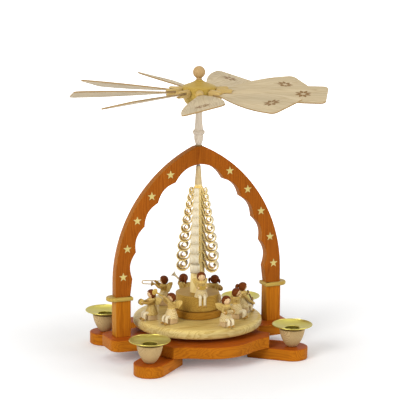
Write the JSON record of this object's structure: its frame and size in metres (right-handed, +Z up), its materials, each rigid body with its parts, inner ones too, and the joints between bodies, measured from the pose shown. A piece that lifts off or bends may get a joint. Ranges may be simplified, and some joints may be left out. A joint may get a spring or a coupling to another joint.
{
  "type": "christmas pyramid",
  "caption": "Wooden candle carousel: rising warm air turns a wheel of pitched blades and, through a shaft in a scalloped arch, a disc of seated musicians round a carved tree.",
  "frame": {"origin": "on the table, under the middle of the shaft", "axes": "+Z up along the shaft, front of the arch towards -Y, posts on the X axis"},
  "size_m": [0.2622, 0.2597, 0.2982],
  "materials": {
    "stained_wood": "orange-brown stain under satin lacquer, straight grain",
    "natural_wood": "natural wood, satin lacquer",
    "pale_wood": "pale untreated wood with fine grain",
    "honey_wood": "honey-brown stain, satin lacquer",
    "figure_paint": "carved wood, painted in cream, brown and gold",
    "brass": "pressed brass sheet, satin",
    "steel": "bright drawn steel"
  },
  "bodies": {
    "stand": {"base_plate": "stained_wood", "foot_front_left": "stained_wood", "foot_front_right": "stained_wood", "foot_rear_left": "stained_wood", "foot_rear_right": "stained_wood", "candle_cup_front_left": "pale_wood", "candle_cup_front_right": "pale_wood", "candle_cup_rear_left": "pale_wood", "candle_cup_rear_right": "pale_wood", "drip_plate_front_left": "brass", "drip_plate_front_right": "brass", "drip_plate_rear_left": "brass", "drip_plate_rear_right": "brass", "post_left": "stained_wood", "post_right": "stained_wood", "impost_left": "natural_wood", "impost_right": "natural_wood", "arch": "stained_wood", "arch_bush": "brass", "bearing_cup": "steel"},
    "rotor": {"shaft": "steel", "turntable": "natural_wood", "podium_step": "honey_wood", "podium_drum": "honey_wood", "carved_tree": "pale_wood", "spindle_sleeve": "pale_wood", "hub": "natural_wood", "finial_ball": "natural_wood", "figure_cymbals": "figure_paint", "figure_trumpet": "figure_paint", "figure_concertina": "figure_paint", "figure_flute": "figure_paint", "figure_cello": "figure_paint", "figure_lute": "figure_paint", "figure_horn": "figure_paint", "figure_trombone": "figure_paint", "figure_singer": "figure_paint"},
    "blade_arm_1": {"peg_1": "natural_wood", "blade_1": "pale_wood"},
    "blade_arm_2": {"peg_2": "natural_wood", "blade_2": "pale_wood"},
    "blade_arm_3": {"peg_3": "natural_wood", "blade_3": "pale_wood"},
    "blade_arm_4": {"peg_4": "natural_wood", "blade_4": "pale_wood"},
    "blade_arm_5": {"peg_5": "natural_wood", "blade_5": "pale_wood"},
    "blade_arm_6": {"peg_6": "natural_wood", "blade_6": "pale_wood"},
    "blade_arm_7": {"peg_7": "natural_wood", "blade_7": "pale_wood"},
    "blade_arm_8": {"peg_8": "natural_wood", "blade_8": "pale_wood"},
    "blade_arm_9": {"peg_9": "natural_wood", "blade_9": "pale_wood"}
  },
  "joints": [
    {"name": "rotor_spin", "type": "hinge", "parent": "stand", "child": "rotor", "pos_m": [0, 0, 0], "axis": [0, 0, 1], "continuous": true},
    {"name": "blade_1_pitch", "type": "hinge", "parent": "rotor", "child": "blade_arm_1", "pos_m": [0, 0, 0.27155], "axis": [0.9895, 0.1444, 0], "range_deg": [-15, 30]},
    {"name": "blade_2_pitch", "type": "hinge", "parent": "rotor", "child": "blade_arm_2", "pos_m": [0, 0, 0.27155], "axis": [0.6652, 0.7466, 0], "range_deg": [-15, 30]},
    {"name": "blade_3_pitch", "type": "hinge", "parent": "rotor", "child": "blade_arm_3", "pos_m": [0, 0, 0.27155], "axis": [0.0297, 0.9996, 0], "range_deg": [-15, 30]},
    {"name": "blade_4_pitch", "type": "hinge", "parent": "rotor", "child": "blade_arm_4", "pos_m": [0, 0, 0.27155], "axis": [-0.6198, 0.7848, 0], "range_deg": [-15, 30]},
    {"name": "blade_5_pitch", "type": "hinge", "parent": "rotor", "child": "blade_arm_5", "pos_m": [0, 0, 0.27155], "axis": [-0.9792, 0.2028, 0], "range_deg": [-15, 30]},
    {"name": "blade_6_pitch", "type": "hinge", "parent": "rotor", "child": "blade_arm_6", "pos_m": [0, 0, 0.27155], "axis": [-0.8805, -0.4741, 0], "range_deg": [-15, 30]},
    {"name": "blade_7_pitch", "type": "hinge", "parent": "rotor", "child": "blade_arm_7", "pos_m": [0, 0, 0.27155], "axis": [-0.3697, -0.9291, 0], "range_deg": [-15, 30]},
    {"name": "blade_8_pitch", "type": "hinge", "parent": "rotor", "child": "blade_arm_8", "pos_m": [0, 0, 0.27155], "axis": [0.314, -0.9494, 0], "range_deg": [-15, 30]},
    {"name": "blade_9_pitch", "type": "hinge", "parent": "rotor", "child": "blade_arm_9", "pos_m": [0, 0, 0.27155], "axis": [0.8508, -0.5255, 0], "range_deg": [-15, 30]}
  ]
}
